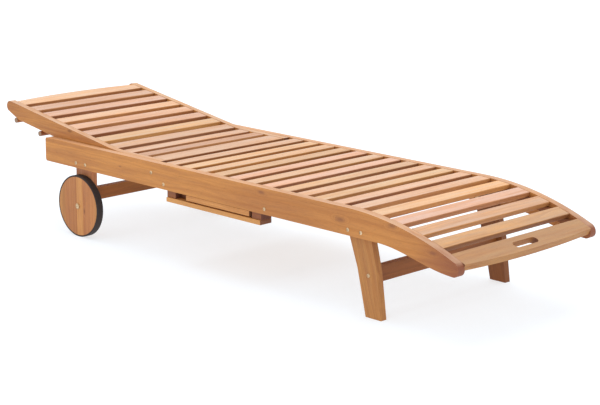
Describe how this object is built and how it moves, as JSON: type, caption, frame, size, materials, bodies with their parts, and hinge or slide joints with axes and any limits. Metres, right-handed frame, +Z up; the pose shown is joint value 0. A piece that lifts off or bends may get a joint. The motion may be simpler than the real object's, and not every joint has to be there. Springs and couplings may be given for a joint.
{
  "type": "reclining sun lounger",
  "caption": "Wooden garden sun lounger with slatted bed, reclining backrest on a notched prop, pull-out side tray and wheels at the head end.",
  "frame": {"origin": "on the floor under the middle of the lounger's length and width", "axes": "+X towards the foot end, +Y to the sitter's left, +Z up"},
  "size_m": [1.9985, 0.624, 0.3876],
  "materials": {
    "slat_wood": "sanded and lightly oiled",
    "frame_wood": "oiled, satin",
    "inner_wood": "oiled, satin",
    "tray_wood": "oiled, satin",
    "wheel_wood": "oiled, satin",
    "tyre_rubber": "matt",
    "zinc_steel": "zinc plated"
  },
  "bodies": {
    "frame": {"side_rail_right": "frame_wood", "side_rail_left": "frame_wood", "front_leg_right": "frame_wood", "front_leg_left": "frame_wood", "rear_leg_right": "frame_wood", "rear_leg_left": "frame_wood", "front_stretcher": "inner_wood", "rear_stretcher": "inner_wood", "slat_ledgers": "inner_wood", "hinge_cross_rail": "inner_wood", "tray_cross_rail": "inner_wood", "prop_racks": "inner_wood", "back_stops": "inner_wood", "tray_spacers": "inner_wood", "tray_bearers": "tray_wood", "seat_slat_01": "slat_wood", "seat_slat_02": "slat_wood", "seat_slat_03": "slat_wood", "seat_slat_04": "slat_wood", "seat_slat_05": "slat_wood", "seat_slat_06": "slat_wood", "seat_slat_07": "slat_wood", "seat_slat_08": "slat_wood", "seat_slat_09": "slat_wood", "seat_slat_10": "slat_wood", "seat_slat_11": "slat_wood", "seat_slat_12": "slat_wood", "seat_slat_13": "slat_wood", "seat_slat_14": "slat_wood", "seat_slat_15": "slat_wood", "seat_slat_16": "slat_wood", "foot_slat": "slat_wood", "frame_bolts": "zinc_steel", "frame_nuts": "zinc_steel", "slat_screws": "zinc_steel", "axle_bolts": "zinc_steel", "pivot_bolts": "zinc_steel", "washers": "zinc_steel"},
    "backrest": {"back_stile_right": "frame_wood", "back_stile_left": "frame_wood", "hinge_slat": "slat_wood", "back_slat_02": "slat_wood", "back_slat_03": "slat_wood", "back_slat_04": "slat_wood", "back_slat_05": "slat_wood", "back_slat_06": "slat_wood", "back_slat_07": "slat_wood", "back_slat_08": "slat_wood", "back_slat_09": "slat_wood", "back_slat_10": "slat_wood", "head_slat": "slat_wood", "prop_pivot_rod": "inner_wood"},
    "prop": {"prop_arms": "inner_wood", "prop_rods": "inner_wood"},
    "tray": {"tray_battens": "tray_wood", "tray_slats": "tray_wood"},
    "wheel_right": {"wheel_disc_right": "wheel_wood", "tyre_right": "tyre_rubber"},
    "wheel_left": {"wheel_disc_left": "wheel_wood", "tyre_left": "tyre_rubber"}
  },
  "joints": [
    {"name": "recline", "type": "hinge", "parent": "frame", "child": "backrest", "pos_m": [-0.225, 0, 0.2665], "axis": [0, 1, 0], "range_deg": [0, 60]},
    {"name": "prop_swing", "type": "hinge", "parent": "backrest", "child": "prop", "pos_m": [-0.53, 0, 0.281], "axis": [0, -1, 0], "range_deg": [0, 107.2]},
    {"name": "tray_slide", "type": "slide", "parent": "frame", "child": "tray", "axis": [0, 1, 0], "range_m": [-0.28, 0.28]},
    {"name": "wheel_right_spin", "type": "hinge", "parent": "frame", "child": "wheel_right", "pos_m": [-0.584, -0.2927, 0.1], "axis": [0, 1, 0], "continuous": true},
    {"name": "wheel_left_spin", "type": "hinge", "parent": "frame", "child": "wheel_left", "pos_m": [-0.584, 0.2927, 0.1], "axis": [0, 1, 0], "continuous": true}
  ],
  "couplings": [
    {"joint": "prop_swing", "follows": "recline", "ratio": 1.784}
  ]
}
